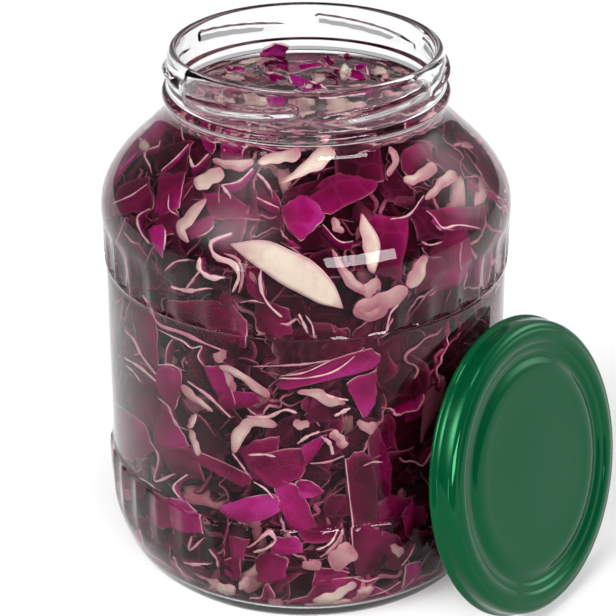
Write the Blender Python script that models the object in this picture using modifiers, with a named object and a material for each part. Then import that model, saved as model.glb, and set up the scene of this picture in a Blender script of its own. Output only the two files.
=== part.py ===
# A wide-mouthed glass preserving jar, filled with chopped red cabbage, with its pressed
# steel twist-off lid leaning against it.  Metres, +Z up.  The origin lies on the surface
# that the jar stands on, under the middle of the whole.
import math
import random

import bmesh
import bpy
import numpy as np
from mathutils import Matrix, Vector

MM = 0.001
GAP = 0.3 * MM                      # clearance between neighbours
MERGE = 0.00001

# Jar: driving dimensions
JAR_HEIGHT = 196.2 * MM
MOUTH_R = 44.9 * MM                 # bore of the neck
NECK_R = 48.6 * MM                  # outside of the neck, between the thread lugs
BEAD_R = 50.5 * MM                  # transfer bead under the thread
BODY_R = 73.8 * MM                  # widest part, under the shoulder
PANEL_R = 73.2 * MM                 # label panel between the two fluted bands
HEEL_R = 75.0 * MM                  # lower fluted band
FOOT_R = 63.5 * MM                  # outer edge of the flat ring that it stands on
FOOT_WIDTH = 5.0 * MM
WALL = 3.7 * MM
FLOOR = 5.6 * MM
PUSH_UP = 3.8 * MM                  # height of the hollow under the base
RIM_DROP = 2.4 * MM                 # how far the rounding of the rim reaches down the bore
BEAD_HEIGHT = 180.6 * MM
BODY_HEIGHT = 135.5 * MM            # where the body is widest
HEEL_HEIGHT = 35.0 * MM             # where the heel is widest
SHOULDER_INSIDE = ((65.5 * MM, 151.2 * MM), (57.4 * MM, 159.6 * MM), (48.6 * MM, 168.6 * MM))
SHOULDER_OUTSIDE = (
    (52.6 * MM, 169.4 * MM), (60.2 * MM, 161.4 * MM), (67.6 * MM, 153.7 * MM), (71.6 * MM, 147.8 * MM),
)
NECK_ROOT = 176.0 * MM              # where the neck's bore begins

BAND_LOW = 43.0 * MM                # top edge of the lower fluted band
BAND_HIGH = 118.8 * MM              # bottom edge of the upper fluted band
BAND_LOW_FOOT = 21.0 * MM           # where the lower band's flutes run out
BAND_HIGH_TOP = 135.6 * MM          # where the upper band's flutes run out
FLUTES = 36
FLUTE_DEPTH = 1.3 * MM
FLUTE_PHASE = math.radians(-1.0)
JAR_STEPS = 2 * FLUTES

# Thread: six lugs that fall clockwise round the neck
LUGS = 6
LUG_SPAN = math.radians(51.0)
LUG_START = math.radians(-86.5)     # thick, low end of the first lug
LUG_LOW = 187.4 * MM
LUG_HIGH = 191.6 * MM
LUG_SIZE = 2.1 * MM
LUG_SUNK = 0.3 * MM                 # how far a lug's middle line lies inside the neck's face
LUG_THINNING = 0.35                 # share of its size that a lug loses by its high end
LUG_POINTS = 7

# Lid, in its own frame: +Z out of its top, its curl on the plane z = 0
LID_R = 54.4 * MM                   # outside of the curl
LID_HEIGHT = 10.0 * MM
CURL = 1.2 * MM                     # radius of the rolled edge
SKIRT_R = 53.2 * MM
SHEET = 0.5 * MM
PANEL_SUNK = 1.1 * MM               # the panel's depth under the raised ring
LID_STEPS = 36
TAB_SIZE = (2.6 * MM, 11.0 * MM, 1.6 * MM)
TAB_EDGE = 0.4 * MM
TAB_R = 51.6 * MM

# Where the lid stands: on its curl, leaning back on the jar
LID_BEARING = math.radians(-30.5)   # round the jar, from +X
LID_FACING = math.radians(-37.5)    # where its top looks
LID_LEAN = math.radians(14.0)       # back from upright

# Contents
FILL_LEVEL = 177.0 * MM             # the brine, at the root of the neck
CORE_INSET = 3.4 * MM
CORE_BELOW = 2.0 * MM               # the core's top under the brine
CORE_STEPS = 18
ENVELOPE_STEPS = 36
ENVELOPE_ABOVE = 7.0 * MM           # how far a leaf may stand out of the brine
LEAF_ROWS = 8
LEAVES_PER_ROW = 6
FIRST_ROW = 24.0 * MM
ROW_PITCH = 19.0 * MM
ROW_SHIFT = 4.0 * MM                # each leaf's own shift up or down
LEAF_DEPTH = (2.4 * MM, 4.0 * MM)   # behind the glass
LEAF_TIP = 0.22                     # radians that a leaf tips off the wall
LEAF_SIDE = (17.0 * MM, 30.0 * MM)
LEAF_WAVE = 1.6 * MM
LEAF_THICK = 1.5 * MM
SLOPE_REACH = 4.0 * MM              # heights above and below that give the wall's slope
TOP_LEAVES = 7
TOP_REACH = 36.0 * MM               # the top leaves' outermost middles
TOP_TURN = 2.4                      # radians from one top leaf to the next
TOP_SIDE = (15.0 * MM, 22.0 * MM)
TOP_TIP = (0.15, 0.5)
SEED = 7

GLASS = ((0.86, 0.92, 0.90, 0.35), 0.05, 0.0)
GREEN_LACQUER = ((0.008, 0.085, 0.035, 1.0), 0.18, 0.3)
RED_CABBAGE = ((0.26, 0.008, 0.10, 1.0), 0.35, 0.0)


def clear_scene():
    for old in list(bpy.data.objects):
        bpy.data.objects.remove(old, do_unlink=True)


def make_collection(name):
    group = bpy.data.collections.new(name)
    bpy.context.scene.collection.children.link(group)
    return group


def make_material(name, look):
    colour, roughness, metallic = look
    material = bpy.data.materials.new(name)
    material.use_nodes = True
    shader = material.node_tree.nodes["Principled BSDF"]
    shader.inputs["Base Color"].default_value = colour
    shader.inputs["Roughness"].default_value = roughness
    shader.inputs["Metallic"].default_value = metallic
    return material


def evaluated_mesh(source):
    """The mesh of an object or a curve with its modifiers, in world space and welded."""
    graph = bpy.context.evaluated_depsgraph_get()
    mesh = bpy.data.meshes.new_from_object(source.evaluated_get(graph))
    mesh.transform(source.matrix_world)
    work = bmesh.new()
    work.from_mesh(mesh)
    bmesh.ops.remove_doubles(work, verts=work.verts, dist=MERGE)
    work.to_mesh(mesh)
    work.free()
    return mesh


def bake(source, group):
    """Replace an object by a plain mesh object of the same name, placed at the origin."""
    name = source.name
    bpy.context.view_layer.update()
    mesh = evaluated_mesh(source)
    bpy.data.objects.remove(source, do_unlink=True)
    plain = bpy.data.objects.new(name, mesh)
    group.objects.link(plain)
    return plain


def turned(name, profile, steps, group):
    """A profile of (radius, height) points at +X, turned about Z by a Screw modifier."""
    mesh = bpy.data.meshes.new(name)
    points = [(radius, 0.0, height) for radius, height in profile]
    edges = [(i, i + 1) for i in range(len(points) - 1)]
    mesh.from_pydata(points, edges, [])
    body = bpy.data.objects.new(name, mesh)
    group.objects.link(body)
    screw = body.modifiers.new("Turn", "SCREW")
    screw.axis = "Z"
    screw.angle = math.tau
    screw.steps = steps
    screw.render_steps = steps
    screw.use_merge_vertices = True
    screw.merge_threshold = MERGE
    return bake(body, group)


def combine(body, tools, operation, group):
    """One Boolean of a body and every object of a collection, which is then emptied."""
    cut = body.modifiers.new("Combine", "BOOLEAN")
    cut.operation = operation
    cut.operand_type = "COLLECTION"
    cut.collection = tools
    cut.solver = "EXACT"
    body = bake(body, group)
    for tool in list(tools.objects):
        bpy.data.objects.remove(tool, do_unlink=True)
    return body


def smooth(body, angle=35.0):
    body.data.shade_smooth()
    body.data.set_sharp_from_angle(angle=math.radians(angle))


# ---- jar ---------------------------------------------------------------------------

def jar_inside():
    """The inner wall as (radius, height), from the middle of the floor to the mouth."""
    floor = PUSH_UP + FLOOR
    return [
        (0.0, floor),
        (0.78 * FOOT_R, floor - 0.8 * MM),
        (HEEL_R - 10.0 * MM, floor + 2.4 * MM),
        (HEEL_R - 5.4 * MM, floor + 9.5 * MM),
        (HEEL_R - WALL, floor + 20.0 * MM),
        (HEEL_R - WALL, BAND_LOW - 5.0 * MM),
        (PANEL_R - WALL, BAND_LOW + 5.0 * MM),
        (PANEL_R - WALL, BAND_HIGH - 3.0 * MM),
        (BODY_R - WALL, BAND_HIGH + 13.0 * MM),
        (BODY_R - WALL - 0.9 * MM, BODY_HEIGHT + 7.5 * MM),
        *SHOULDER_INSIDE,
        (MOUTH_R, NECK_ROOT),
        (MOUTH_R, JAR_HEIGHT - RIM_DROP),
    ]


def jar_outside():
    """The outer wall as (radius, height), from the rim down to the middle of the base."""
    return [
        (MOUTH_R + 0.6 * MM, JAR_HEIGHT - 0.7 * MM),
        (MOUTH_R + 1.8 * MM, JAR_HEIGHT),
        (NECK_R - 0.7 * MM, JAR_HEIGHT - 0.7 * MM),
        (NECK_R, JAR_HEIGHT - RIM_DROP),
        (NECK_R + 0.1 * MM, BEAD_HEIGHT + 3.4 * MM),
        (BEAD_R - 0.3 * MM, BEAD_HEIGHT + 1.7 * MM),
        (BEAD_R, BEAD_HEIGHT),
        (BEAD_R - 0.4 * MM, BEAD_HEIGHT - 2.0 * MM),
        (NECK_R + 0.4 * MM, NECK_ROOT),
        (NECK_R + 0.9 * MM, NECK_ROOT - 3.4 * MM),
        *SHOULDER_OUTSIDE,
        (BODY_R - 0.3 * MM, BODY_HEIGHT + 6.5 * MM),
        (BODY_R, BODY_HEIGHT),
        (BODY_R - 0.2 * MM, BODY_HEIGHT - 7.5 * MM),
        (BODY_R - 0.3 * MM, BAND_HIGH),
        (PANEL_R - 0.4 * MM, BAND_HIGH - 1.2 * MM),
        (PANEL_R + 0.3 * MM, BAND_LOW + 1.6 * MM),
        (HEEL_R - 0.3 * MM, BAND_LOW - 0.6 * MM),
        (HEEL_R, HEEL_HEIGHT),
        (HEEL_R - 0.4 * MM, 0.77 * HEEL_HEIGHT),
        (HEEL_R - 1.0 * MM, 0.59 * HEEL_HEIGHT),
        (HEEL_R - 2.1 * MM, 0.44 * HEEL_HEIGHT),
        (HEEL_R - 4.2 * MM, 0.27 * HEEL_HEIGHT),
        (HEEL_R - 7.4 * MM, 0.10 * HEEL_HEIGHT),
        (FOOT_R + 1.4 * MM, 0.8 * MM),
        (FOOT_R, 0.0),
        (FOOT_R - FOOT_WIDTH, 0.0),
        (FOOT_R - FOOT_WIDTH - 6.0 * MM, 0.7 * PUSH_UP),
        (0.0, PUSH_UP),
    ]


def flute_share(height):
    """How deep the flutes are at a height: full at a band's edge, none at its arches."""
    upper = (BAND_HIGH_TOP - height) / (BAND_HIGH_TOP - BAND_HIGH)
    lower = (height - BAND_LOW_FOOT) / (BAND_LOW - BAND_LOW_FOOT)
    for share in (upper, lower):
        if 0.0 < share < 1.01:
            return math.sqrt(share)
    return 0.0


def cut_flutes(body):
    """Draw every second column of the outer wall inwards within the two bands."""
    for vertex in body.data.vertices:
        radius = math.hypot(vertex.co.x, vertex.co.y)
        if radius < PANEL_R - 1.0 * MM:
            continue
        turn = math.atan2(vertex.co.y, vertex.co.x) - math.pi / FLUTES
        hollow = 0.5 - 0.5 * math.cos(FLUTES * turn)
        depth = FLUTE_DEPTH * flute_share(vertex.co.z) * hollow
        vertex.co.x *= 1.0 - depth / radius
        vertex.co.y *= 1.0 - depth / radius


def add_lug(name, start, group):
    """A thread lug: a bar bent round the neck that rises and thins anticlockwise."""
    curve = bpy.data.curves.new(name, "CURVE")
    curve.dimensions = "3D"
    curve.bevel_depth = LUG_SIZE
    curve.bevel_resolution = 1
    curve.use_fill_caps = True
    spline = curve.splines.new("POLY")
    spline.points.add(LUG_POINTS - 1)
    for i, point in enumerate(spline.points):
        share = i / (LUG_POINTS - 1)
        angle = start + share * LUG_SPAN
        height = LUG_LOW + share * (LUG_HIGH - LUG_LOW)
        reach = NECK_R - LUG_SUNK
        point.co = (reach * math.cos(angle), reach * math.sin(angle), height, 1.0)
        point.radius = 1.0 - LUG_THINNING * share
    body = bpy.data.objects.new(name, curve)
    group.objects.link(body)
    return bake(body, group)


def make_jar(group, tools):
    profile = jar_inside() + jar_outside()
    body = turned("jar", profile, JAR_STEPS, group)
    cut_flutes(body)
    body.data.transform(Matrix.Rotation(FLUTE_PHASE, 4, "Z"))
    for i in range(LUGS):
        add_lug("lug", LUG_START + i * math.tau / LUGS, tools)
    body = combine(body, tools, "UNION", group)
    smooth(body)
    body.data.materials.append(make_material("glass", GLASS))
    return body


# ---- lid ---------------------------------------------------------------------------

def lid_top():
    """The lid's outer face as (radius, height), from the middle of its panel outwards."""
    panel = LID_HEIGHT - PANEL_SUNK
    return [
        (0.0, panel + 0.2 * MM),
        (37.6 * MM, panel),
        (39.0 * MM, panel - 0.6 * MM),
        (41.2 * MM, panel - 0.9 * MM),
        (43.2 * MM, panel - 0.1 * MM),
        (44.6 * MM, panel),
        (46.0 * MM, LID_HEIGHT - 0.2 * MM),
        (48.0 * MM, LID_HEIGHT),
        (49.6 * MM, LID_HEIGHT - 0.2 * MM),
        (51.4 * MM, LID_HEIGHT - 0.6 * MM),
        (SKIRT_R - 0.6 * MM, LID_HEIGHT - 1.7 * MM),
        (SKIRT_R - 0.2 * MM, LID_HEIGHT - 3.2 * MM),
        (SKIRT_R, 2.0 * CURL + 0.6 * MM),
    ]


def lid_curl():
    """The rolled edge: three quarters of a circle from the skirt round to its inside."""
    middle = LID_R - CURL
    turns = [math.radians(a) for a in (45.0, 0.0, -45.0, -90.0, -135.0, -180.0, -225.0)]
    return [(middle + CURL * math.cos(a), CURL + CURL * math.sin(a)) for a in turns]


def lid_inside():
    """The lid's inner face, from the curl up the skirt and in to the middle."""
    panel = LID_HEIGHT - PANEL_SUNK - SHEET
    return [
        (SKIRT_R - SHEET, 2.0 * CURL + 1.2 * MM),
        (SKIRT_R - SHEET - 0.2 * MM, LID_HEIGHT - 3.2 * MM),
        (SKIRT_R - SHEET - 1.2 * MM, LID_HEIGHT - 1.9 * MM),
        (48.0 * MM, LID_HEIGHT - SHEET),
        (45.6 * MM, panel),
        (41.2 * MM, panel - 0.9 * MM),
        (37.4 * MM, panel),
        (0.0, panel + 0.2 * MM),
    ]


def add_tab(turn, group):
    """A tab pressed inwards from the curl, which hooks under a lug of the thread."""
    bpy.ops.mesh.primitive_cube_add(size=1.0)
    tab = bpy.context.object
    tab.name = "tab"
    tab.data.transform(Matrix.Diagonal((*TAB_SIZE, 1.0)))
    tab.location = (TAB_R * math.cos(turn), TAB_R * math.sin(turn), 0.7 * CURL + TAB_SIZE[2] / 2)
    tab.rotation_euler.z = turn
    for owner in list(tab.users_collection):
        owner.objects.unlink(tab)
    group.objects.link(tab)
    bevel = tab.modifiers.new("Edges", "BEVEL")
    bevel.width = TAB_EDGE
    bevel.segments = 1


def ring_clearance(distance):
    """Least gap between the jar and the lid's curl when the lid stands this far out."""
    reach = LID_R - CURL
    outward = Vector((math.cos(LID_BEARING), math.sin(LID_BEARING), 0.0)) * distance
    facing = Vector((math.cos(LID_FACING), math.sin(LID_FACING), 0.0))
    side = Vector((-facing.y, facing.x, 0.0))
    uphill = Vector((0.0, 0.0, math.cos(LID_LEAN))) - facing * math.sin(LID_LEAN)
    turns = np.linspace(0.0, math.tau, 361)
    ring = np.outer(np.cos(turns), side) + np.outer(np.sin(turns), uphill)
    ring = ring * reach + np.array(outward)
    return float(np.hypot(ring[:, 0], ring[:, 1]).min()) - CURL - PANEL_R


def lid_place():
    """The lid's frame: turned to its bearing, leant back and slid until it touches."""
    near, far = PANEL_R, 2.0 * PANEL_R
    for _ in range(40):
        middle = 0.5 * (near + far)
        if ring_clearance(middle) < GAP:
            near = middle
        else:
            far = middle
    rise = (LID_R - CURL) * math.cos(LID_LEAN) + CURL - CURL * math.sin(LID_LEAN)
    spot = Vector((far * math.cos(LID_BEARING), far * math.sin(LID_BEARING), rise))
    turn = Matrix.Rotation(LID_FACING, 4, "Z") @ Matrix.Rotation(math.pi / 2 - LID_LEAN, 4, "Y")
    return Matrix.Translation(spot) @ turn


def make_lid(group, tools):
    body = turned("lid", lid_top() + lid_curl() + lid_inside(), LID_STEPS, group)
    for i in range(LUGS):
        add_tab((i + 0.5) * math.tau / LUGS, tools)
    body = combine(body, tools, "UNION", group)
    body.data.transform(lid_place())
    smooth(body)
    body.data.materials.append(make_material("lid_lacquer", GREEN_LACQUER))
    return body


# ---- contents ----------------------------------------------------------------------

def inside_radius(height):
    """Radius of the jar's inner wall at a height."""
    profile = jar_inside()
    return float(np.interp(height, [p[1] for p in profile[1:]], [p[0] for p in profile[1:]]))


def add_fill(name, inset, steps, top, group):
    """A turned solid that follows the inner wall and floor at a distance, up to a height."""
    wall = np.array(jar_inside())
    along = np.gradient(wall, axis=0)
    along /= np.linalg.norm(along, axis=1, keepdims=True)
    wall[:, 0] -= inset * along[:, 1]
    wall[:, 1] += inset * along[:, 0]
    wall[0, 0] = 0.0
    below = [tuple(point) for point in wall[::-1] if point[1] < top - 1.5 * MM]
    rim = (inside_radius(top) - inset - 0.5 * MM, top)
    return turned(name, [(0.0, top), rim, *below], steps, group)


def add_leaf(place, side, draw, group):
    """A cut square of leaf: a small grid bent into a wave and given its thickness."""
    mesh = bpy.data.meshes.new("leaf")
    work = bmesh.new()
    bmesh.ops.create_grid(work, x_segments=2, y_segments=2, size=0.5)
    aspect = draw.uniform(0.55, 1.0)
    turn = draw.uniform(0.0, math.pi)
    for vertex in work.verts:
        along = vertex.co.x * math.cos(turn) + vertex.co.y * math.sin(turn)
        rise = LEAF_WAVE * math.cos(4.0 * along)
        vertex.co = (vertex.co.x * side, vertex.co.y * side * aspect, rise)
    bmesh.ops.triangulate(work, faces=work.faces)
    work.to_mesh(mesh)
    work.free()
    mesh.transform(place)
    leaf = bpy.data.objects.new("leaf", mesh)
    group.objects.link(leaf)
    shell = leaf.modifiers.new("Thickness", "SOLIDIFY")
    shell.thickness = LEAF_THICK
    shell.offset = 0.0
    return bake(leaf, group)


def wall_slope(height):
    """Angle of the inner wall at a height: none on the upright wall, more on the shoulder."""
    below = inside_radius(height - SLOPE_REACH)
    above = inside_radius(height + SLOPE_REACH)
    return math.atan2(below - above, 2.0 * SLOPE_REACH)


def wall_leaves(draw, group):
    """Leaves in staggered rows against the glass, each turned and tipped its own way."""
    pitch = math.tau / LEAVES_PER_ROW
    for row in range(LEAF_ROWS):
        for column in range(LEAVES_PER_ROW):
            level = FIRST_ROW + row * ROW_PITCH + draw.uniform(-ROW_SHIFT, ROW_SHIFT)
            bearing = (column + 0.5 * (row % 2) + draw.uniform(-0.2, 0.2)) * pitch
            reach = inside_radius(level) - draw.uniform(*LEAF_DEPTH)
            upright = math.pi / 2 - wall_slope(level)
            turn = (
                Matrix.Rotation(bearing, 4, "Z")
                @ Matrix.Rotation(upright + draw.uniform(-LEAF_TIP, LEAF_TIP), 4, "Y")
                @ Matrix.Rotation(draw.uniform(-LEAF_TIP, LEAF_TIP), 4, "X")
                @ Matrix.Rotation(draw.uniform(0.0, math.pi), 4, "Z")
            )
            spot = Vector((reach * math.cos(bearing), reach * math.sin(bearing), level))
            add_leaf(Matrix.Translation(spot) @ turn, draw.uniform(*LEAF_SIDE), draw, group)


def top_leaves(draw, group):
    """Leaves that lie tipped on top in the neck, a corner here and there out of the brine."""
    for i in range(TOP_LEAVES):
        bearing = i * TOP_TURN
        reach = TOP_REACH * math.sqrt((i + 0.3) / TOP_LEAVES)
        spin = Matrix.Rotation(draw.uniform(0.0, math.tau), 4, "Z")
        tip = Matrix.Rotation(draw.uniform(*TOP_TIP), 4, "Y")
        spot = Vector((reach * math.cos(bearing), reach * math.sin(bearing), FILL_LEVEL - 1.0 * MM))
        add_leaf(Matrix.Translation(spot) @ spin @ tip, draw.uniform(*TOP_SIDE), draw, group)


def keep_largest(body):
    """Drop loose scraps and the shells of sealed hollows: only the outer shell stays."""
    work = bmesh.new()
    work.from_mesh(body.data)
    bmesh.ops.remove_doubles(work, verts=work.verts, dist=MERGE)
    waiting = set(work.verts)
    islands = []
    while waiting:
        front = [waiting.pop()]
        island = set(front)
        while front:
            for edge in front.pop().link_edges:
                for vertex in edge.verts:
                    if vertex in waiting:
                        waiting.remove(vertex)
                        island.add(vertex)
                        front.append(vertex)
        islands.append(island)
    islands.sort(key=len)
    for island in islands[:-1]:
        bmesh.ops.delete(work, geom=list(island), context="VERTS")
    work.to_mesh(body.data)
    work.free()


def make_cabbage(group, tools):
    draw = random.Random(SEED)
    body = add_fill("cabbage", CORE_INSET, CORE_STEPS, FILL_LEVEL - CORE_BELOW, group)
    wall_leaves(draw, tools)
    top_leaves(draw, tools)
    body = combine(body, tools, "UNION", group)
    add_fill("envelope", 2.0 * GAP, ENVELOPE_STEPS, FILL_LEVEL + ENVELOPE_ABOVE, tools)
    body = combine(body, tools, "INTERSECT", group)
    keep_largest(body)
    body.data.materials.append(make_material("red_cabbage", RED_CABBAGE))
    return body


def centre_over_origin(bodies):
    """Slide the whole so that the origin is under the middle of its outline."""
    points = [vertex.co for body in bodies for vertex in body.data.vertices]
    middle_x = 0.5 * (min(p.x for p in points) + max(p.x for p in points))
    middle_y = 0.5 * (min(p.y for p in points) + max(p.y for p in points))
    for body in bodies:
        body.data.transform(Matrix.Translation((-middle_x, -middle_y, 0.0)))


def main():
    clear_scene()
    group = make_collection("preserving_jar")
    tools = make_collection("tools")
    bodies = [make_jar(group, tools), make_lid(group, tools), make_cabbage(group, tools)]
    centre_over_origin(bodies)


main()
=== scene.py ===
# A glass preserving jar of chopped red cabbage in brine, its green twist-off lid leaning on it.
import math

import bmesh
import bpy
import numpy as np
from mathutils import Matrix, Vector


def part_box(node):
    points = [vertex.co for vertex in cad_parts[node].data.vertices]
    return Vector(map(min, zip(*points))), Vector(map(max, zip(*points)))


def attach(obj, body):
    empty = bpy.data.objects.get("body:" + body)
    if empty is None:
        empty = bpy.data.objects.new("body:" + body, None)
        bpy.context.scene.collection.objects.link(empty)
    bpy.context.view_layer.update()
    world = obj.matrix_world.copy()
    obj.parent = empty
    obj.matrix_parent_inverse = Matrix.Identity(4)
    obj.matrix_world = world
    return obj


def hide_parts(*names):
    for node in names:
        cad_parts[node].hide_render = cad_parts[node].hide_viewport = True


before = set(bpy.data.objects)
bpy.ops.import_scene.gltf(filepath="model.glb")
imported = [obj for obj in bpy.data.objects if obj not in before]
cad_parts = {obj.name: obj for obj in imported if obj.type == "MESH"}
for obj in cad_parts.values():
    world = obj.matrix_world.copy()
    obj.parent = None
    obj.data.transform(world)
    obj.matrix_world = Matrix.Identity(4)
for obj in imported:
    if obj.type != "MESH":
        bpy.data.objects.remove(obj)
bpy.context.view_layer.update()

mm = 0.001
lowCorner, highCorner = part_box("jar")
jarAxis = np.array([0.5 * (lowCorner.x + highCorner.x), 0.5 * (lowCorner.y + highCorner.y)])
jarFoot = np.append(jarAxis, 0.0)

view = {
    "place": (-0.01988, -0.6426, 0.4236),   # metres
    "pitch": 26.9,                          # degrees below level
    "lens": 114.9,
    "sensor": 36.0,
    "pixels": 616,
}


def newObject(name, data):
    made = bpy.data.objects.new(name, data)
    bpy.context.scene.collection.objects.link(made)
    return made


def addCamera():
    data = bpy.data.cameras.new("camera")
    data.lens = view["lens"]
    data.sensor_width = view["sensor"]
    camera = newObject("camera", data)
    camera.location = view["place"]
    camera.rotation_euler = (math.radians(90.0 - view["pitch"]), 0.0, 0.0)
    bpy.context.scene.camera = camera
    print("camera set")


addCamera()


# Shader maths: a wrapped socket that adds its nodes as an expression is written.
class Wire:
    def __init__(self, tree, socket=None):
        self.tree = tree
        self.socket = socket

    def fill(self, spot, value):
        # an input takes a link or a plain value
        if isinstance(value, Wire):
            self.tree.links.new(value.socket, spot)
        else:
            spot.default_value = value

    def node(self, kind, settings=None, inputs=None, output=0):
        made = self.tree.nodes.new(kind)
        for name, value in (settings or {}).items():
            if name == "stops":
                ramp = made.color_ramp.elements
                while len(ramp) < len(value):
                    ramp.new(0.5)
                for stop, (spot, colour) in zip(ramp, value):
                    stop.position = spot
                    stop.color = (*colour, 1.0)
            else:
                setattr(made, name, value)
        for name, value in (inputs or {}).items():
            self.fill(made.inputs[name], value)
        return Wire(self.tree, made.outputs[output] if made.outputs else None)

    def maths(self, operation, first, second=0.0):
        return self.node("ShaderNodeMath", {"operation": operation}, {0: first, 1: second})

    def __add__(self, other):
        return self.maths("ADD", self, other)

    def __sub__(self, other):
        return self.maths("SUBTRACT", self, other)

    def __rsub__(self, other):
        return self.maths("SUBTRACT", other, self)

    def __mul__(self, other):
        return self.maths("MULTIPLY", self, other)

    def __truediv__(self, other):
        return self.maths("DIVIDE", self, other)

    def __pow__(self, other):
        return self.maths("POWER", self, other)

    __radd__ = __add__
    __rmul__ = __mul__

    def clamped(self):
        return self.node("ShaderNodeClamp", {}, {"Value": self, "Min": 0.0, "Max": 1.0})

    def between(self, first, second):
        # two colours mixed by this value, which is held to 0 to 1
        first, second = (c if isinstance(c, Wire) else (*c, 1.0) for c in (first, second))
        return self.node("ShaderNodeMix", {"data_type": "RGBA"}, {0: self, 6: first, 7: second}, 2)

    def along(self, way):
        # the cosine between this direction and a fixed one
        return self.node("ShaderNodeVectorMath", {"operation": "DOT_PRODUCT"},
                         {0: self, 1: tuple(way)}, "Value")

    def noise(self, scale, detail):
        return self.node("ShaderNodeTexNoise", {}, {"Vector": self, "Scale": scale, "Detail": detail})


def newPaint(name):
    material = bpy.data.materials.new(name)
    material.use_nodes = True
    material.node_tree.nodes.clear()
    return material, Wire(material.node_tree)


def finishPaint(paint, surface, volume=None):
    out = paint.tree.nodes.new("ShaderNodeOutputMaterial")
    paint.tree.links.new(surface.socket, out.inputs["Surface"])
    if volume:
        paint.tree.links.new(volume.socket, out.inputs["Volume"])


def glassPaint(name, look):
    # clear glass or liquid that lets lamps through to what is behind it
    material, paint = newPaint(name)
    clear = paint.node("ShaderNodeBsdfPrincipled", {}, {
        "Base Color": (*look["colour"], 1.0), "Roughness": look["roughness"],
        "IOR": look["ior"], "Transmission Weight": 1.0, "Specular Tint": (*look["shine"], 1.0)})
    passing = paint.node("ShaderNodeBsdfTransparent", {}, {"Color": (*look["shadow"], 1.0)})
    lamp = paint.node("ShaderNodeLightPath", output="Is Shadow Ray")
    surface = paint.node("ShaderNodeMixShader", {}, {0: lamp, 1: clear, 2: passing})
    depth = None
    if "density" in look:
        depth = paint.node("ShaderNodeVolumeAbsorption", {}, {
            "Color": (*look["depthColour"], 1.0), "Density": look["density"]})
    finishPaint(paint, surface, depth)
    return material


# Shapes: each is a grid of points worked out as whole arrays.

def smoothCurve(points, rows):
    # cubic Hermite spans through the points; each span is cut into its own number of rows
    points = np.array(points, float)
    spans = np.linalg.norm(np.diff(points, axis=0), axis=1)
    length = np.concatenate([[0.0], np.cumsum(spans)])
    slope = np.gradient(points, length, axis=0)
    rows = np.broadcast_to(rows, len(spans))
    k = np.repeat(np.arange(len(spans)), rows)
    first = np.repeat(np.cumsum(rows) - rows, rows)
    u = ((np.arange(rows.sum()) - first) / rows[k])[:, None]
    h = spans[k][:, None]
    a, b = points[k], points[k + 1]
    curve = ((2 * u**3 - 3 * u**2 + 1) * a + (u**3 - 2 * u**2 + u) * h * slope[k]
             + (3 * u**2 - 2 * u**3) * b + (u**3 - u**2) * h * slope[k + 1])
    return np.concatenate([curve, points[-1:]])


def movedAcross(profile, distance):
    # each point of a profile moved square to it, to the right of its run
    slope = np.gradient(profile, axis=0)
    slope = slope / np.linalg.norm(slope, axis=1, keepdims=True)
    return profile + distance * np.stack([slope[:, 1], -slope[:, 0]], -1)


def fullTurn(columns):
    return np.linspace(0.0, 2 * math.pi, columns, endpoint=False)


def aroundJar(radius, bearing, height):
    # mm about the jar's axis to metres: x = radius cos bearing, y = radius sin bearing, z = height
    places = np.broadcast_arrays(radius * np.cos(bearing), radius * np.sin(bearing), height)
    return np.stack(places, -1) * mm + jarFoot


def gridFaces(rows, columns, closed):
    # quads of a grid of points; closed joins the last column to the first
    i = np.arange(rows - 1)[:, None]
    j = np.arange(columns if closed else columns - 1)[None, :]
    k = (j + 1) % columns
    quads = np.stack([i * columns + j, i * columns + k, (i + 1) * columns + k, (i + 1) * columns + j], -1)
    return quads.reshape(-1, 4)


def newPiece(name, points, faces, materials, slots=None, values=None, weld=False):
    mesh = bpy.data.meshes.new(name)
    mesh.from_pydata(np.asarray(points).reshape(-1, 3).tolist(), [], np.asarray(faces).tolist())
    for material in materials:
        mesh.materials.append(material)
    if slots is not None:
        mesh.polygons.foreach_set("material_index", np.asarray(slots, np.int32))
    for key, value in (values or {}).items():
        layer = mesh.attributes.new(key, "FLOAT", "POINT")
        layer.data.foreach_set("value", np.asarray(value, np.float32).ravel())
    if weld:
        work = bmesh.new()
        work.from_mesh(mesh)
        bmesh.ops.remove_doubles(work, verts=work.verts, dist=0.001 * mm)
        work.to_mesh(mesh)
        work.free()
    mesh.shade_smooth()
    piece = newObject(name, mesh)
    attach(piece, "root")
    print(name, len(mesh.polygons), "faces")
    return piece


def turnedPiece(name, points, materials, slots=None, values=None):
    # a grid whose rows run right round, with its poles welded shut
    rows, columns = points.shape[:2]
    return newPiece(name, points, gridFaces(rows, columns, True), materials, slots, values, weld=True)


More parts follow.
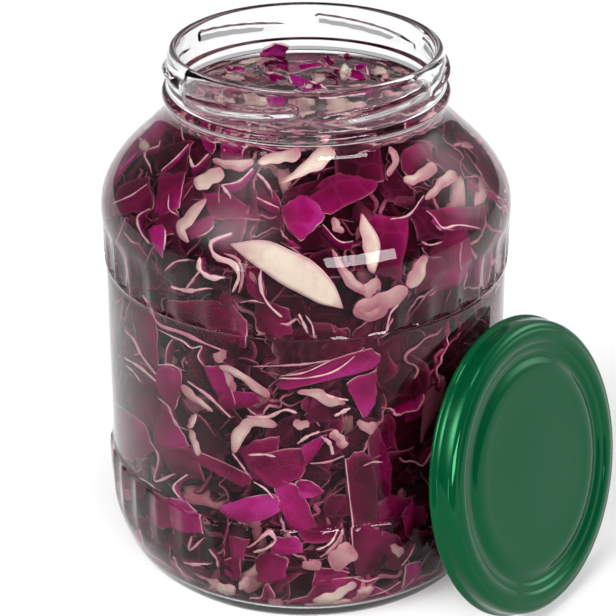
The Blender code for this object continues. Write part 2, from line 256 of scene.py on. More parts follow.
# The jar. Each row of a wall is radius and height in mm, and the rows of points up to the next.
jar = {
    "columns": 324,
    "outside": [
        (0.0, 2.0, 3), (30.0, 1.9, 3), (52.0, 1.4, 2), (56.6, 0.8, 2), (58.9, 0.15, 2), (61.0, 0.0, 2),
        (63.2, 0.15, 2), (64.7, 0.8, 2), (66.7, 2.4, 2), (68.5, 4.8, 2), (70.0, 7.6, 3), (71.5, 11.5, 3),
        (73.1, 16.2, 5), (74.25, 22.0, 5), (74.8, 28.6, 5), (75.0, 35.0, 4), (75.0, 40.6, 4),
        (74.75, 42.4, 3), (74.1, 43.4, 3), (73.6, 44.4, 3), (73.45, 48.0, 4), (73.25, 76.0, 4),
        (73.0, 100.0, 4), (72.85, 114.0, 3), (72.8, 117.5, 3), (73.15, 118.2, 3), (73.6, 118.8, 4),
        (73.7, 121.0, 6),
        (73.6, 128.0, 6), (73.75, 135.0, 4), (73.8, 139.0, 4), (73.15, 143.4, 4), (71.4, 148.0, 5),
        (67.6, 153.7, 5), (63.3, 158.5, 5), (58.8, 162.8, 4), (54.6, 167.0, 3), (52.0, 169.7, 3),
        (50.1, 172.3, 3), (49.3, 174.2, 3), (49.1, 176.0, 3), (49.6, 177.5, 4), (50.5, 178.7, 4),
        (50.8, 180.0, 4), (50.4, 181.2, 4), (49.3, 182.2, 5), (48.8, 184.0, 7), (48.6, 188.6, 7),
        (48.45, 193.0, 4), (48.0, 194.8, 4), (47.2, 195.9, 4), (46.3, 196.2, 4), (45.5, 195.8, 3),
        (45.0, 194.8, 3)],
    "inside": [
        (44.9, 193.0, 3), (44.9, 178.0, 3), (45.2, 175.2, 3), (46.2, 172.0, 3), (48.9, 168.3, 3),
        (53.3, 163.9, 4), (57.6, 159.8, 4), (61.9, 155.5, 4), (65.5, 151.2, 4), (68.3, 147.0, 3),
        (69.7, 143.0, 3), (70.1, 138.0, 3), (70.0, 128.0, 3), (69.5, 116.0, 4), (69.5, 80.0, 4),
        (69.6, 52.0, 3), (70.2, 44.0, 4), (71.2, 36.0, 4), (71.3, 28.0, 4), (70.5, 19.0, 4),
        (68.9, 11.7, 4), (66.0, 7.3, 4), (60.3, 5.6, 3), (48.0, 5.2, 3), (20.0, 5.1, 2), (0.0, 5.0, 1)],
    "plainRows": 10,                    # rows at the mouth that stay round
    "flutes": 36, "fluteDepth": 1.5, "fluteTurn": 4.0,
    "fluteFrom": 70.0,                  # no flutes where the radius is less
    "upperBand": (118.8, 135.6),        # where flutes are deepest, and the tips of their arches
    "lowerBand": (43.0, 21.0),
    "lugs": 6, "lugStart": -86.5, "lugSpan": 51.0, "lugLow": 186.2, "lugHigh": 190.0, "lugFrom": 183.5,
    "lugAbove": 1.3, "lugBelow": 2.8, "lugReach": 1.9, "neck": 49.0,
    "glass": {"colour": (0.985, 0.995, 0.99), "roughness": 0.0, "ior": 1.5, "shadow": (0.98, 0.985, 0.98),
              "shine": (0.4, 0.4, 0.4)},
    "wetLevel": 177.0,                  # up to here brine wets it, and hardly anything is reflected
    "wetShine": (0.02, 0.02, 0.02),
    "footRadius": 64.6,                 # the foot is frosted
    "footHeight": 4.0, "footRoughness": 0.4,
}
outsideWall = np.array(jar["outside"])[:, :2]
insideWall = np.array(jar["inside"])[:, :2]


def insideRadius(height):
    # radius of the inner wall, in mm, at heights in mm
    wall = insideWall[::-1]
    return np.interp(height, wall[:, 1], wall[:, 0])


def wallSlope(height):
    # how far the inner wall leans in, from its radii 2 mm below and above
    return np.arctan2(insideRadius(height - 2) - insideRadius(height + 2), 4.0)


def behindWall(bearing, height, depth):
    # places a depth behind the inner wall and square to it
    slope = wallSlope(height)
    return aroundJar(insideRadius(height) - depth * np.cos(slope), bearing, height - depth * np.sin(slope))


def fluteDepth(angle, height):
    # depth x root of the share of the band passed from its tips x hollow of the flute, a sine
    turn = (np.degrees(angle) - jar["fluteTurn"]) * jar["flutes"] / 360.0
    hollow = np.sin(math.pi * (turn % 1.0))
    total = 0.0
    for full, tip in (jar["upperBand"], jar["lowerBand"]):
        share = (tip - height) / (tip - full)
        total = total + np.where((share > 0) & (share < 1.02), np.sqrt(np.clip(share, 0.0, 1.0)), 0.0)
    return jar["fluteDepth"] * total * hollow


def lugRise(angle, height):
    # a bar on the neck, rounded above and straight below: reach x (1 - distance squared) ^ 0.6 above its
    # middle line, reach x (1 - distance) below, in half widths; it swells from its start to a blunt nose
    pitch = 360.0 / jar["lugs"]
    turn = (np.degrees(angle) - jar["lugStart"]) % pitch
    turn = np.where(turn > 0.5 * (pitch + jar["lugSpan"]), turn - pitch, turn)
    share = np.clip(turn / jar["lugSpan"], 0.0, 1.0)
    middle = jar["lugLow"] + share * (jar["lugHigh"] - jar["lugLow"])
    across = height - middle
    along = np.radians(turn - share * jar["lugSpan"]) * jar["neck"] / jar["lugAbove"]
    above = np.clip(1.0 - (across / jar["lugAbove"]) ** 2 - along**2, 0.0, 1.0) ** 0.6
    below = np.clip(1.0 + across / jar["lugBelow"], 0.0, 1.0) * np.clip(1.0 - along**2, 0.0, 1.0) ** 0.6
    swell = np.clip(share / 0.4, 0.0, 1.0)
    reach = jar["lugReach"] * (0.25 + 0.75 * swell * swell * (3.0 - 2.0 * swell))
    return reach * np.where(across > 0, above, below)


def makeJar():
    # both walls as one profile, from the middle of the base over the rim to the middle of the floor
    walls = np.array(jar["outside"] + jar["inside"])
    profile = smoothCurve(walls[:, :2], walls[:-1, 2].astype(int))
    outsideRows = int(np.array(jar["outside"])[:, 2].sum())
    row = np.arange(len(profile))
    bearing = fullTurn(jar["columns"])
    r, z = profile[:, :1], profile[:, 1:]
    outer = row[:, None] < outsideRows - jar["plainRows"]
    r = r - np.where(outer & (r > jar["fluteFrom"]), fluteDepth(bearing, z), 0.0)
    r = r + np.where(outer & (z > jar["lugFrom"]), lugRise(bearing, z), 0.0)
    look = jar["glass"]
    paints = [glassPaint("jarGlass", look), glassPaint("jarGlassWetted", {**look, "shine": jar["wetShine"]}),
              glassPaint("jarGlassFoot", {**look, "roughness": jar["footRoughness"]})]
    row, (radius, height) = row[:-1], profile[:-1].T
    wetted = (row >= outsideRows + 2) & (height < jar["wetLevel"])
    foot = (row < outsideRows) & (radius < jar["footRadius"]) & (height < jar["footHeight"])
    slots = np.repeat(wetted + 2 * foot, jar["columns"])
    piece = turnedPiece("jarGlass", aroundJar(r, bearing, z), paints, slots)
    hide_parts("jar")


makeJar()


# The brine: it reaches a little way into the wall, so that no air shows between them.
brine = {
    "columns": 144, "level": 177.0, "overlap": 0.15, "creep": 1.4, "creepWidth": 1.3,
    "inward": (0.0, 0.5, 1.2, 2.2, 4.0, 7.0, 12.0, 18.0, 25.0, 32.0, 39.0),     # rings of its surface
    "waves": 0.25, "waveReach": 43.0,
    "colour": (1.0, 1.0, 1.0), "roughness": 0.0, "ior": 1.34, "shadow": (0.97, 0.93, 0.95),
    "depthColour": (0.7, 0.1, 0.3), "density": 30.0, "shine": (0.05, 0.05, 0.05),
}


def makeBrine():
    # the inner wall from the floor up, then in along a surface that creeps up the glass, with low waves
    level = brine["level"]
    wall = insideWall[::-1]
    wall = movedAcross(wall[wall[:, 1] < level - 1.5], brine["overlap"])
    wall[0, 0] = 0.0
    rim = insideRadius(level) + brine["overlap"]
    inward = np.array([*brine["inward"], rim])
    top = np.stack([rim - inward, level + brine["creep"] * np.exp(-inward / brine["creepWidth"])], -1)
    profile = smoothCurve(np.concatenate([wall, top]), 3)
    points = aroundJar(profile[:, :1], fullTurn(brine["columns"]), profile[:, 1:])
    x, y = points[..., 0] - jarAxis[0], points[..., 1] - jarAxis[1]
    calm = np.clip(1.0 - (x**2 + y**2) / (brine["waveReach"] * mm) ** 2, 0.0, 1.0)
    calm = calm * (points[..., 2] > (level - 1.0) * mm)
    waves = np.sin(x * 260 + 1.0) * np.sin(y * 310) + np.sin((x + y) * 420)
    points[..., 2] += brine["waves"] * mm * calm * waves
    piece = turnedPiece("cabbageBrine", points, [glassPaint("cabbageBrine", brine)])


makeBrine()


# Cabbage: leaves, shreds and ribs are all sheets, given by the grid of their middle surface.
leafLook = {
    "stops": [(0.0, (0.0095, 0.0009, 0.0027)), (0.3, (0.026, 0.0008, 0.0065)), (0.6, (0.061, 0.0009, 0.018)),
              (0.85, (0.1, 0.0014, 0.038)), (1.0, (0.132, 0.0065, 0.069))],
    "mottle": 0.9, "veins": 0.1, "veinColour": (0.17, 0.027, 0.07), "rimShare": 0.25,
    "rimColour": (0.17, 0.027, 0.067), "roughness": 0.4,
}
edgeLook = {
    "stops": [(0.0, (0.135, 0.028, 0.055)), (0.4, (0.2, 0.09, 0.108)), (1.0, (0.285, 0.2, 0.2))],
    "mottle": 0.9, "veins": 0.0, "veinColour": (0.26, 0.04, 0.17), "rimShare": 0.0,
    "rimColour": (0.3, 0.09, 0.17), "roughness": 0.42,
}
ribLook = {
    "stops": [(0.0, (0.12, 0.042, 0.055)), (0.35, (0.165, 0.092, 0.094)), (0.7, (0.212, 0.16, 0.138)),
              (1.0, (0.262, 0.228, 0.186))],
    "mottle": 1.3, "veins": 0.1, "veinColour": (0.19, 0.12, 0.115), "rimShare": 0.8,
    "rimColour": (0.18, 0.068, 0.088), "roughness": 0.4,
}
leafGrain = {
    "mottleScale": 95.0, "fineScale": 420.0, "fineShare": 0.25, "veinScale": 120.0, "veinSharpness": 14.0,
    "bumpStrength": 0.3, "bumpDepth": 0.0008,
}


def leafPaint(name, look):
    # tone picks the colour, mottled by noise; veins and the rim of a piece are mixed over it
    material, paint = newPaint(name)
    tone = paint.node("ShaderNodeAttribute", {"attribute_name": "tone"}, output="Fac")
    rim = paint.node("ShaderNodeAttribute", {"attribute_name": "rim"}, output="Fac")
    spot = paint.node("ShaderNodeTexCoord", output="Object")
    mottle = spot.noise(leafGrain["mottleScale"], 4.0)
    fine = spot.noise(leafGrain["fineScale"], 2.0)
    veins = paint.node("ShaderNodeTexVoronoi", {"feature": "DISTANCE_TO_EDGE"}, {
        "Vector": spot, "Scale": leafGrain["veinScale"]})
    shade = (tone + (mottle - 0.5) * look["mottle"] + (fine - 0.5) * leafGrain["fineShare"]).clamped()
    skin = paint.node("ShaderNodeValToRGB", {"stops": look["stops"]}, {"Fac": shade})
    vein = (1.0 - (veins * leafGrain["veinSharpness"])).clamped() * look["veins"]
    pale = ((1.0 - rim) ** 3.0) * look["rimShare"]
    bump = paint.node("ShaderNodeBump", {}, {
        "Height": mottle * 0.8 + fine * 0.05, "Strength": leafGrain["bumpStrength"],
        "Distance": leafGrain["bumpDepth"]})
    finishPaint(paint, paint.node("ShaderNodeBsdfPrincipled", {}, {
        "Base Color": pale.between(vein.between(skin, look["veinColour"]), look["rimColour"]),
        "Roughness": look["roughness"], "Normal": bump, "Specular IOR Level": 0.0}))
    return material


leafSkin = leafPaint("redCabbageLeaf", leafLook)
cutEdge = leafPaint("redCabbageCutEdge", edgeLook)
creamRib = leafPaint("redCabbageRib", ribLook)


def keepInside(points, margin):
    # points beyond the glass are pressed back: radius <= inner wall - margin, height >= floor + margin
    flat = (points[..., :2] - jarAxis) / mm
    r = np.hypot(flat[..., 0], flat[..., 1])
    foot = insideWall[insideWall[:, 1] < 21.0][::-1]
    z = np.maximum(points[..., 2] / mm, np.interp(r, foot[:, 0], foot[:, 1]) + margin)
    scale = np.minimum(1.0, (insideRadius(z) - margin) / np.maximum(r, 1e-6))
    return np.concatenate([flat * scale[..., None], z[..., None]], -1) * mm + jarFoot


def sheetPieces(name, middles, thickness, tone, materials):
    # each middle surface is moved half its thickness along and against its normal, and the rim is closed
    count, rows, columns = middles.shape[:3]
    normal = np.cross(np.gradient(middles, axis=1), np.gradient(middles, axis=2))
    normal /= np.maximum(np.linalg.norm(normal, axis=-1, keepdims=True), 1e-12)
    thickness = np.asarray(thickness)
    half = 0.5 * thickness.reshape(thickness.shape + (1,) * (4 - thickness.ndim)) * normal
    points = np.stack([middles + half, middles - half], 1)       # count, 2, rows, columns, 3
    face = gridFaces(rows, columns, False)
    size = rows * columns
    ring = np.concatenate([np.arange(columns), np.arange(1, rows) * columns + columns - 1,
                           (rows - 1) * columns + np.arange(columns - 2, -1, -1),
                           np.arange(rows - 2, 0, -1) * columns])
    following = np.roll(ring, -1)
    rimFaces = np.stack([ring, following, following + size, ring + size], -1)
    one = np.concatenate([face[:, ::-1], face + size, rimFaces])
    faces = (one[None] + (np.arange(count) * 2 * size)[:, None, None]).reshape(-1, 4)
    slots = np.tile(np.arange(len(one)) >= 2 * len(face), count)
    i = np.linspace(0, 1, rows)[:, None]
    j = np.linspace(0, 1, columns)[None, :]
    inner = np.clip(6.0 * np.minimum(np.minimum(i, 1 - i), np.minimum(j, 1 - j)), 0, 1)
    tone = tone.reshape(tone.shape + (1,) * (3 - tone.ndim))[:, None]
    values = {"tone": np.broadcast_to(tone, (count, 2, rows, columns)),
              "rim": np.broadcast_to(inner, (count, 2, rows, columns))}
    piece = newPiece(name, points, faces, materials, slots, values)
    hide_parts("cabbage")


def bentSheets(draw, count, rows, columns, shape):
    # a strip whose heading turns as bend x u + waves of rising pitch and falling size, rippled and twisted
    u = np.linspace(-0.5, 0.5, rows)[None, :, None]
    v = np.linspace(-0.5, 0.5, columns)[None, None, :]

    def pick(low, high):
        return draw.uniform(low, high, (count, 1, 1))

    heading = pick(-1, 1) * shape["bend"] * u
    for pitch, size in ((1.0, 1.0), (2.1, 0.7), (4.3, 0.45)):
        wave = 2 * math.pi * (pitch * pick(*shape["waves"]) * u + pick(0, 1))
        heading = heading + shape["wave"] * size * pick(0.2, 1.0) * np.sin(wave)
    length, width = pick(*shape["length"]), pick(*shape["width"])
    step = length / (rows - 1)
    x = np.cumsum(np.cos(heading), 1) * step
    z = np.cumsum(np.sin(heading), 1) * step
    x, z = x - x.mean(1, keepdims=True), z - z.mean(1, keepdims=True)
    y = width * v * (1 + pick(-0.45, 0.45) * u * 2)
    y = y * np.sqrt(1.0 - pick(0.2, 0.75) * (2 * u) ** 2) * (1.0 + 0.13 * np.sin(9 * u + pick(0, 6)))
    x = x * np.sqrt(1.0 - pick(0.1, 0.6) * (2 * v) ** 2) * (1.0 + 0.1 * np.sin(8 * v + pick(0, 6)))
    x, y = x + pick(-0.3, 0.3) * width * v, y + pick(-0.35, 0.35) * x
    z = z + shape["ripple"] * np.sin(2 * math.pi * (pick(0.4, 1.3) * v + pick(0, 1)) + 3 * u)
    twist = pick(-1, 1) * shape["twist"] * u
    y, z = y * np.cos(twist) - z * np.sin(twist), y * np.sin(twist) + z * np.cos(twist)
    return np.stack(np.broadcast_arrays(x, y, z), -1) * mm


def wallFrames(draw, bearing, slope, tilt, edgeOn):
    # axes of a sheet on the wall: out of the wall, round it and up it, then tilted and spun at random
    count = len(bearing)
    out = np.stack([np.cos(bearing) * np.cos(slope), np.sin(bearing) * np.cos(slope), np.sin(slope)], -1)
    around = np.stack([-np.sin(bearing), np.cos(bearing), np.zeros(count)], -1)
    up = np.cross(out, around)
    spin = draw.uniform(0, 2 * math.pi, count)[:, None]
    one = around * np.cos(spin) + up * np.sin(spin)
    two = -around * np.sin(spin) + up * np.cos(spin)
    lean = draw.normal(0, tilt, (count, 1)) + (math.pi / 2 if edgeOn else 0.0)
    sideways = two * np.cos(lean) + out * np.sin(lean)
    return np.stack([one, sideways, np.cross(one, sideways)], -1)      # columns are the sheet's x, y and z


def placed(sheets, axes, centre):
    # axes x the sheet's own x, y and z, from its centre
    return np.einsum("nij,nrcj->nrci", axes, sheets) + centre[:, None, None]


shapes = {
    # lengths and widths in mm, bend and twist over the length, and waves along it
    "leaf": {"length": (12, 34), "width": (9, 24), "bend": 0.9, "wave": 0.35, "waves": (0.6, 1.4),
             "ripple": 0.9, "twist": 0.5},
    "shred": {"length": (18, 46), "width": (2.5, 6.0), "bend": 2.2, "wave": 0.9, "waves": (1.0, 2.6),
              "ripple": 0.25, "twist": 0.8},
    "rib": {"length": (12, 32), "width": (5, 10), "bend": 0.5, "wave": 0.15, "waves": (0.5, 1.0),
            "ripple": 0.6, "twist": 0.5},
}
heap = {
    "seed": 11, "heights": (9.0, 172.0), "top": 176.2,
    "front": (-168.0, -12.0),           # bearings where room is left for the pieces at the front
    # tone taken off heap pieces at the front: painted shade, as they lie behind the pieces set one by one
    "frontDepth": 2.6, "frontPaintedShade": 0.32,
    "kinds": {
        # name: shape, skin, count, rows, columns, tilt, on edge, depths, thicknesses, least depth in mm
        "heapLeaves": ("leaf", leafSkin, 560, 9, 8, 0.34, False, (0.9, 13.0), (0.5, 1.1), 1.0),
        "heapShreds": ("shred", leafSkin, 330, 25, 3, 0.3, True, (2.6, 8.0), (0.6, 1.9), 1.0),
        "heapRibs": ("rib", creamRib, 80, 11, 7, 0.5, False, (2.0, 9.0), (2.5, 4.5), 2.4),
    },
}


def makeHeap():
    # pieces spread evenly over the wall from the floor to the neck, thinner towards their ends
    draw = np.random.default_rng(heap["seed"])
    for name, (kind, skin, count, rows, columns, tilt, edgeOn, depths, thick, least) in heap["kinds"].items():
        height = draw.uniform(*heap["heights"], count)
        bearing = draw.uniform(0, 2 * math.pi, count)
        depth = draw.uniform(*depths, count)
        degrees = (np.degrees(bearing) + 180.0) % 360.0 - 180.0
        front = (degrees > heap["front"][0]) & (degrees < heap["front"][1])
        depth = np.where(front, heap["frontDepth"] + depth, depth)
        local = bentSheets(draw, count, rows, columns, shapes[kind])
        axes = wallFrames(draw, bearing, wallSlope(height), tilt, edgeOn)
        along = np.linspace(0, 1, rows)[None, :, None]
        across = np.linspace(-1, 1, columns)[None, None, :]
        thickness = draw.uniform(*thick, (count, 1, 1)) * mm * (0.3 + 0.7 * np.sin(math.pi * along) ** 0.5)
        thickness = thickness * (0.75 + 0.25 * np.sin(draw.uniform(5, 17, (count, 1, 1)) * along + across))
        if kind == "rib":
            thickness = thickness * np.sqrt(1.05 - across**2)
        margin = np.where(front, heap["frontDepth"], least)[:, None, None]
        middle = keepInside(placed(local, axes, behindWall(bearing, height, depth)), margin)
        middle[..., 2] = np.minimum(middle[..., 2], heap["top"] * mm)
        # heap pieces at the front are painted darker, as shade
        tone = (draw.beta(1.6, 1.6, count) - heap["frontPaintedShade"] * front)[:, None, None]
        tone = tone + draw.uniform(-0.28, 0.28, (count, 1, 1)) * (2 * along - 1)
        tone = tone + draw.uniform(-0.2, 0.2, (count, 1, 1)) * across
        sheetPieces(name, middle, thickness, tone, [skin, cutEdge])


makeHeap()

beds = {
    "seed": 23, "tilt": 0.22, "margin": 1.6, "top": 176.6,
    "kinds": {
        # name: shape, skin, count, rows, columns, radius in mm, size, heights, thicknesses, tones
        "leafBed": ("leaf", leafSkin, 120, 9, 7, 41.0, 0.5, (171.5, 175.6), (0.5, 1.0), (0.1, 0.85)),
        "curlBed": ("shred", cutEdge, 90, 17, 3, 41.0, 0.5, (171.5, 176.2), (0.7, 1.5), (0.1, 0.9)),
        "ribBed": ("rib", creamRib, 20, 9, 7, 41.0, 0.5, (173.0, 175.4), (1.0, 2.0), (0.0, 0.4)),
        "footLeaves": ("leaf", leafSkin, 100, 9, 7, 65.0, 0.8, (6.8, 9.6), (0.5, 1.0), (0.3, 0.9)),
        "footRibs": ("rib", creamRib, 50, 9, 7, 65.0, 0.8, (7.2, 9.0), (1.2, 2.2), (0.0, 0.6)),
    },
}


def makeBeds():
    # pieces that lie flat, spread evenly over a disc: reach x root of a random share
    draw = np.random.default_rng(beds["seed"])
    for name, (kind, skin, count, rows, columns, reach, size, heights, thick, tones) in beds["kinds"].items():
        height = draw.uniform(*heights, count)
        radius = reach * draw.uniform(0, 1, count) ** 0.5
        bearing = draw.uniform(0, 2 * math.pi, count)
        local = bentSheets(draw, count, rows, columns, shapes[kind]) * size
        axes = wallFrames(draw, bearing, np.full(count, math.pi / 2), beds["tilt"], False)
        middle = keepInside(placed(local, axes, aroundJar(radius, bearing, height)), beds["margin"])
        middle[..., 2] = np.minimum(middle[..., 2], beds["top"] * mm)
        thickness = draw.uniform(*thick, (count, 1, 1)) * mm * np.ones((1, rows, columns))
        sheetPieces(name, middle, thickness, draw.uniform(*tones, count), [skin, cutEdge])


makeBeds()


# The pieces that lie against the front of the glass are set one by one, as the camera sees them: their
# corners and paths are spots in a frame of 616 by 616, and the sight line through a spot meets the wall.
sight = {
    "steps": 12, "firstRadius": 70.0,
    "bentDown": 1.3, "bentByDepth": 0.3,        # mm that the glass bends it, and the share of its depth
}


def sightLines(spots):
    # from the camera: forward x focal length + right x (x - half) - up x (y - half)
    pitch = math.radians(view["pitch"])
    half = 0.5 * view["pixels"]
    focal = view["lens"] / view["sensor"] * view["pixels"]
    forward = np.array([0.0, math.cos(pitch), -math.sin(pitch)])
    up = np.array([0.0, math.sin(pitch), math.cos(pitch)])
    spots = np.asarray(spots, float)
    way = forward * focal - up * (spots[..., 1:] - half)
    way[..., 0] += spots[..., 0] - half
    return np.array(view["place"]), way / np.linalg.norm(way, axis=-1, keepdims=True)


def spotsOnWall(spots, depth):
    # where sight lines meet the outer wall, found in a few steps, then moved in through the glass to a depth
    eye, way = sightLines(spots)
    ox, oy = eye[:2] - jarAxis
    a = way[..., 0] ** 2 + way[..., 1] ** 2
    b = ox * way[..., 0] + oy * way[..., 1]
    radius = np.full(way.shape[:-1], sight["firstRadius"])
    for _ in range(sight["steps"]):
        c = ox**2 + oy**2 - (radius * mm) ** 2
        far = (-b - np.sqrt(np.maximum(b * b - a * c, 0.0))) / a
        point = eye + far[..., None] * way
        radius = 0.5 * (radius + np.interp(point[..., 2] / mm, outsideWall[:, 1], outsideWall[:, 0]))
    bearing = np.arctan2(point[..., 1] - jarAxis[1], point[..., 0] - jarAxis[0])
    return behindWall(bearing, point[..., 2] / mm - sight["bentDown"] - sight["bentByDepth"] * depth, depth)


def spotsAtHeight(spots, height):
    # where sight lines meet level planes at heights in mm
    eye, way = sightLines(spots)
    far = (np.asarray(height) * mm - eye[2]) / way[..., 2]
    return eye + far[..., None] * way


def sheetGrid(size=15):
    # the two parameters of a square sheet, each from -1 to 1
    line = np.linspace(-1, 1, size)
    return line[None, :, None], line[None, None, :]


def blended(draw, corners, low, high):
    # four corners mixed over a square with rounded corners, s sqrt(1 - k t squared), and wavy sides
    s, t = sheetGrid()
    c = np.asarray(corners, float)[:, None, None]
    k, a, b = draw.uniform(low, high, (3, len(c), 1, 1))
    one, two, three, four = draw.uniform(0, 6.3, (4, len(c), 1, 1))
    u = s * np.sqrt(1 - k * t**2) * (1 + 0.3 * a * np.sin(3.1 * t + one) + 0.14 * b * np.sin(9 * t + two))
    v = t * np.sqrt(1 - k * s**2) * (1 + 0.3 * b * np.sin(3.1 * s + three) + 0.14 * a * np.sin(8 * s + four))
    u, v = (0.5 + 0.53 * u)[..., None], (0.5 + 0.53 * v)[..., None]
    return ((1 - u) * (1 - v) * c[..., 0, :] + (1 - u) * v * c[..., 1, :]
            + u * v * c[..., 2, :] + u * (1 - v) * c[..., 3, :])


def shaded(draw, tones, reach):
    # a tone that drifts over the sheet
    s, t = sheetGrid()
    one, two = draw.uniform(-reach, reach, (2, len(tones), 1, 1))
    return np.asarray(tones)[:, None, None] + one * s + two * t


def roundedPaths(paths, perSpan, rows):
    # each path rounded by cubic spans, then cut into the same number of rows
    picks = [np.linspace(0, perSpan * (len(path) - 1), rows).round().astype(int) for path in paths]
    return np.stack([smoothCurve(path, perSpan)[pick] for path, pick in zip(paths, picks)])


drawFront = np.random.default_rng(5)      # one run of random numbers for all the pieces at the front

# tone (0 dark, 1 bright), depth behind the glass in mm, four corners
frontLeaves = [
    (0.86, 0.9, (278, 209), (303, 192), (327, 214), (299, 240)),
    (0.6, 1.7, (303, 190), (340, 171), (388, 178), (330, 216)),
    (0.2, 2.2, (341, 140), (387, 140), (388, 178), (338, 173)),
    (0.2, 2.6, (281, 187), (328, 171), (338, 175), (287, 206)),
    (0.5, 1.2, (368, 211), (411, 219), (407, 278), (377, 272)),
    (0.42, 1.4, (432, 257), (452, 256), (451, 281), (423, 291)),
    (0.62, 1.2, (435, 207), (484, 203), (485, 227), (446, 227)),
    (0.3, 2.4, (414, 205), (434, 201), (466, 230), (424, 239)),
    (0.5, 1.6, (405, 151), (424, 139), (441, 160), (412, 177)),
    (0.6, 1.1, (155, 176), (179, 169), (174, 206), (148, 216)),
    (0.2, 2.4, (186, 182), (201, 187), (177, 216), (177, 188)),
    (0.42, 1.3, (109, 214), (113, 184), (144, 174), (147, 206)),
    (0.14, 2.6, (145, 142), (185, 137), (180, 168), (153, 170)),
    (0.7, 1.0, (194, 131), (207, 131), (210, 153), (200, 147)),
    (0.97, 0.8, (143, 229), (157, 221), (161, 235), (155, 257)),
    (0.48, 1.6, (148, 216), (171, 205), (177, 224), (159, 235)),
    (0.6, 1.5, (197, 191), (225, 187), (259, 218), (210, 216)),
    (0.6, 1.2, (182, 222), (211, 213), (205, 229), (186, 238)),
    (0.55, 1.5, (241, 266), (259, 269), (262, 302), (245, 293)),
    (0.66, 1.4, (215, 137), (239, 137), (236, 160), (216, 158)),
    (0.3, 2.6, (205, 246), (240, 240), (238, 262), (205, 262)),
    (0.75, 1.0, (152, 364), (178, 368), (170, 413), (149, 383)),
    (0.82, 1.2, (199, 366), (217, 365), (233, 404), (217, 406)),
    (0.7, 1.5, (215, 390), (257, 394), (253, 406), (218, 409)),
    (0.7, 1.2, (153, 399), (171, 419), (184, 450), (149, 441)),
    (0.5, 2.0, (124, 294), (148, 315), (152, 364), (133, 350)),
    (0.62, 1.6, (117, 405), (137, 420), (150, 449), (118, 456)),
    (0.74, 1.0, (277, 377), (378, 346), (381, 368), (282, 391)),
    (0.75, 1.1, (348, 384), (380, 369), (379, 405), (367, 418)),
    (0.92, 0.9, (301, 446), (328, 435), (321, 448), (306, 466)),
    (0.6, 1.5, (242, 461), (317, 444), (300, 481), (266, 489)),
    (0.5, 2.0, (148, 440), (188, 446), (198, 480), (165, 471)),
    (0.55, 1.7, (171, 450), (181, 446), (248, 476), (240, 489)),
    (0.55, 2.2, (234, 449), (276, 436), (276, 483), (251, 480)),
    (0.97, 1.0, (213, 505), (272, 494), (280, 512), (238, 526)),
    (0.76, 1.3, (270, 485), (294, 482), (322, 532), (288, 530)),
    (0.86, 1.2, (294, 483), (309, 480), (327, 494), (302, 500)),
    (0.36, 1.6, (347, 459), (375, 453), (384, 521), (355, 528)),
    (0.4, 1.5, (356, 529), (386, 528), (386, 576), (357, 577)),
    (0.4, 2.2, (326, 497), (352, 495), (353, 516), (325, 517)),
    (0.86, 1.2, (272, 540), (295, 538), (306, 555), (267, 556)),
    (0.5, 1.8, (251, 556), (284, 556), (285, 581), (254, 584)),
    (0.8, 1.3, (318, 569), (352, 574), (348, 583), (313, 588)),
    (0.84, 1.1, (159, 497), (182, 499), (200, 535), (165, 528)),
    (0.66, 1.5, (143, 492), (160, 500), (166, 528), (146, 523)),
    (0.7, 1.5, (224, 538), (245, 540), (241, 561), (227, 559)),
    (0.65, 1.8, (218, 560), (238, 560), (236, 582), (220, 575)),
    (0.45, 2.4, (380, 420), (398, 470), (392, 512), (372, 452)),
    (0.4, 2.0, (388, 530), (412, 545), (408, 572), (388, 566)),
    (0.35, 2.4, (250, 300), (285, 306), (290, 338), (252, 332)),
    (0.45, 2.4, (160, 300), (230, 300), (232, 330), (170, 322)),
]


def makeFrontLeaves(draw):
    # the four corners blended over the sheet, with a low wave in depth
    s, t = sheetGrid()
    count = len(frontLeaves)
    tone = shaded(draw, [leaf[0] - 0.04 for leaf in frontLeaves], 0.16)
    depth = np.array([leaf[1] for leaf in frontLeaves])[:, None, None]
    phase = draw.uniform(0, 6.3, (4, count, 1, 1))
    wave = (np.sin(1.6 * s + phase[0]) * np.sin(1.4 * t + phase[1])
            + 0.45 * np.sin(4.0 * s + phase[2]) * np.sin(3.2 * t + phase[3]))
    corners = blended(draw, [leaf[2:] for leaf in frontLeaves], 0.06, 0.3)
    middle = keepInside(spotsOnWall(corners, depth + 0.6 + 0.8 * wave), 0.6)
    sheetPieces("frontLeaves", middle, np.full(count, 0.65) * mm, tone, [leafSkin, cutEdge])


makeFrontLeaves(drawFront)

